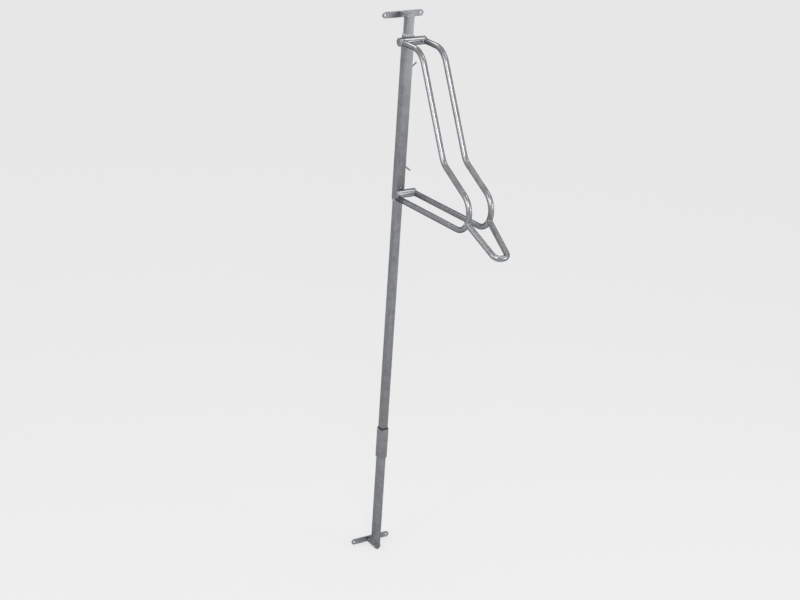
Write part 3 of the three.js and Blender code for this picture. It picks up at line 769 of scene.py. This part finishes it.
armStart = Vector((crossTube["reach"], upperTube["height"]))
armEnd = Vector((crossTube["reach"], lowerTube["height"]))
topCorner = Vector((cradle["topReach"], armStart.y))
noseBend = cradle["noseBend"]
noseCentre = Vector((cradle["noseReach"] - noseBend, armEnd.y + cradle["armRise"] + noseBend))
leg, shin = leaning(cradle["legLean"]), leaning(cradle["shinLean"])
shinTouch = noseCentre + Vector((-shin.y, shin.x)) * noseBend
knee = crossing(topCorner, leg, shinTouch, shin)
toNose = noseCentre - armEnd
armLean = math.atan2(toNose.y, toNose.x) - math.asin(noseBend / toNose.length)
arm = Vector((math.cos(armLean), math.sin(armLean)))
noseCorner = crossing(shinTouch, shin, armEnd, arm)
loop = [armStart, topCorner, knee, noseCorner]
bends = [cradle["topBend"], cradle["kneeBend"], noseBend]


def crossGap(height):
    return lambda p: math.hypot(p.y + standOff + crossTube["reach"], p.z - height) - crossTube["radius"]


def noseGap(x):
    def gap(p):
        inPlane = math.hypot(-standOff - p.y - noseCentre.x, p.z - noseCentre.y) - noseBend
        return math.hypot(inPlane, p.x - x) - cradle["radius"]
    return gap


def addLimbSeam(name, centre, along, gap):
    start, run = centre - along * cradle["searchBefore"], cradle["searchRun"]
    path = seam(start, along, cradle["radius"], gap, run, cradle["weldPoints"])
    addWeld(name, path, cradle["weldRadius"], "carriage", True, along)


def addRightBar(x):
    end = at(x, armEnd)
    rising = (end - at(x, noseCorner)).normalized()
    line = bentLine([*[at(x, place) for place in loop], end], bends)
    trims = (coped(backward, crossGap(armStart.y)), coped(rising, crossGap(armEnd.y)))
    shape = sweep(line, cradle["radius"], cradle["sides"], trims=trims)
    addPiece("barRight", shape, "tube", "carriage", ["cradle_bar_right"])
    addLimbSeam("armSeamLowerRight", end, rising, crossGap(armEnd.y))


# The left bar's lower arm turns in and ends on the sleeve's front, under the lower cross tube
def addLeftBar(x):
    radius = cradle["radius"]
    turnIn = at(x, crossing(armEnd, arm, Vector((cradle["leftTurn"], 0)), Vector((0, 1))))
    root = spot(cradle["leftRoot"], 0, armEnd.y - crossTube["radius"] - radius - cradle["rootGap"])
    along = (root - turnIn).normalized()

    def toSleeve(point):
        return point + along * ((-standOff - cradle["rootFront"] - point.y) / along.y)

    line = bentLine([*[at(x, place) for place in loop], turnIn, toSleeve(turnIn)], [*bends, cradle["leftBend"]])
    trims = (coped(backward, crossGap(armStart.y)), toSleeve)
    addPiece("barLeft", sweep(line, radius, cradle["sides"], trims=trims), "tube", "carriage", ["cradle_bar_left"])
    count = cradle["weldPoints"]
    rim = [toSleeve(point) for point in sweep(line[-2:], radius, count)[0][-count:]]
    lowest = min(range(count), key=lambda k: rim[k].z)
    path = [point for point in rim[lowest:] + rim[:lowest] if point.z > sleeveRun[0] + cradle["weldEdge"]]
    addWeld("armSeamLowerLeft", path, cradle["weldRadius"], "carriage", upward=along)


def addHoop():
    half, tip, radius = cradle["half"], cradle["hoopTipHalf"], cradle["radius"]
    slope = leaning(90 - cradle["hoopSlope"])
    rootPlace = noseCentre + slope * noseBend
    tipPlace = crossing(noseCentre, slope, Vector((cradle["hoopTip"], 0)), Vector((0, 1)))
    roots, tips = [at(x, rootPlace) for x in (-half, half)], [at(x, tipPlace) for x in (-tip, tip)]
    limbs = [(root - end).normalized() for root, end in zip(roots, tips)]
    line = bentLine([roots[0], *tips, roots[1]], [cradle["hoopBend"]] * 2)
    trims = [coped(limb, noseGap(x)) for limb, x in zip(limbs, (-half, half))]
    addPiece("tyreHoop", sweep(line, radius, cradle["sides"], trims=trims), "tube", "carriage", ["tyre_hoop"])
    for side, root, limb, x in zip(("Left", "Right"), roots, limbs, (-half, half)):
        addLimbSeam("hoopSeam" + side, root, limb, noseGap(x))


addRightBar(cradle["half"])
addLeftBar(-cradle["half"])
for side, x in (("Left", -cradle["half"]), ("Right", cradle["half"])):
    addLimbSeam("armSeamUpper" + side, at(x, armStart), backward, crossGap(armStart.y))
addHoop()
print("cradle made")

# Rod with two out-turned ends on the sleeve's right side, held by pairs of short seams
hookRod = {
    "radius": 2.5, "x": 17.8, "top": 1716.3, "length": 325, "bend": 5, "bendStep": 6, "sides": 20,
    "topOut": (20, 16), "bottomOut": (23, -18), "tacks": (1690, 1554, 1418), "tackX": 16.1, "tackReach": 1.9,
    "tackHalf": 7, "tackRadius": 1.3,
}


def addHookRod():
    x, top, half = hookRod["x"], hookRod["top"], hookRod["tackHalf"]
    bottom = top - hookRod["length"]
    (outTop, rise), (outBottom, drop) = hookRod["topOut"], hookRod["bottomOut"]
    corners = [
        spot(x + outTop, 0, top + rise), spot(x, 0, top), spot(x, 0, bottom), spot(x + outBottom, 0, bottom + drop),
    ]
    line = bentLine(corners, [hookRod["bend"]] * 2, hookRod["bendStep"])
    addPiece("hookRod", sweep(line, hookRod["radius"], hookRod["sides"]), "tube", "carriage", ["side_hook_rod"])
    for index, height in enumerate(hookRod["tacks"]):
        for side, way in (("Back", -1), ("Front", 1)):
            path = [spot(hookRod["tackX"], way * hookRod["tackReach"], height + end) for end in (-half, half)]
            addWeld("rodTack" + str(index) + side, path, hookRod["tackRadius"], "carriage")


addHookRod()
print("hook rod made")

# Pale floor, soft lamps and a pale room. The floor's size and the lamps are in metres, and power is in watts.
room = {
    "floorHeight": -10.5, "floorSize": 60, "floorPaint": (0.2, 0.2, 0.2, 1), "floorGlow": (0.6, 0.6, 0.6, 1),
    "floorRough": 0.9, "unlit": (0, 0, 0, 1), "backdrop": (0.78, 0.78, 0.78, 1), "air": (0.8, 0.8, 0.81, 1),
}
lamps = {
    "key": {"place": (-1.9, -4.1, 4.3), "size": (1.2, 1.6), "power": 76, "aim": (0, -0.2, 1.5)},
    "right": {"place": (2.4, -3.0, 2.0), "size": (1.2, 1.2), "power": 30, "aim": (0, 0, 1.75)},
    "left": {"place": (-4.4, -1.0, 3.0), "size": (2.6, 2.6), "power": 62, "aim": (0, 0, 1.0)},
    "back": {"place": (-0.06, 0.5, 2.36), "size": (0.35, 0.35), "power": 2.2, "aim": (0, -0.1, 1.81)},
    "top": {"place": (1.35, -0.8, 3.8), "size": (0.7, 0.7), "power": 8, "aim": (0, -0.07, 1.8)},
}


def addRoom():
    size, height = room["floorSize"], room["floorHeight"] * mm
    mesh = bpy.data.meshes.new("floor")
    corners = [(-size, -size, height), (size, -size, height), (size, size, height), (-size, size, height)]
    mesh.from_pydata(corners, [], [(0, 1, 2, 3)])
    floor = bpy.data.objects.new("floor", mesh)
    bpy.context.scene.collection.objects.link(floor)
    material = bpy.data.materials.new("floorPaint")
    mesh.materials.append(material)
    paint = Paint(material)
    glow = paint.blend(seen(paint), room["unlit"], room["floorGlow"])
    paint.shade(
        Base_Color=room["floorPaint"], Roughness=room["floorRough"], Emission_Color=glow, Emission_Strength=1.0,
    )
    world = bpy.data.worlds.new("room")
    bpy.context.scene.world = world
    air = Paint(world, "BACKGROUND")
    air.shade(Color=air.blend(seen(air), room["air"], room["backdrop"]), Strength=1.0)


# 1 for what the camera sees, straight, mirrored or through something clear
def seen(paint):
    names = ("Is Camera Ray", "Is Glossy Ray", "Is Transmission Ray")
    straight, mirrored, through = (paint.node("ShaderNodeLightPath", output=name) for name in names)
    return (straight + mirrored + through).clamped()


def addLamps():
    for name, lamp in lamps.items():
        data = bpy.data.lights.new(name, "AREA")
        data.shape = "RECTANGLE"
        data.size, data.size_y = lamp["size"]
        data.energy = lamp["power"]
        light = bpy.data.objects.new(name, data)
        light.visible_camera = False
        light.location = lamp["place"]
        light.rotation_euler = (Vector(lamp["aim"]) - Vector(lamp["place"])).to_track_quat("-Z", "Y").to_euler()
        bpy.context.scene.collection.objects.link(light)


addRoom()
addLamps()
bpy.context.scene.view_settings.view_transform = "Standard"
print("room lit")
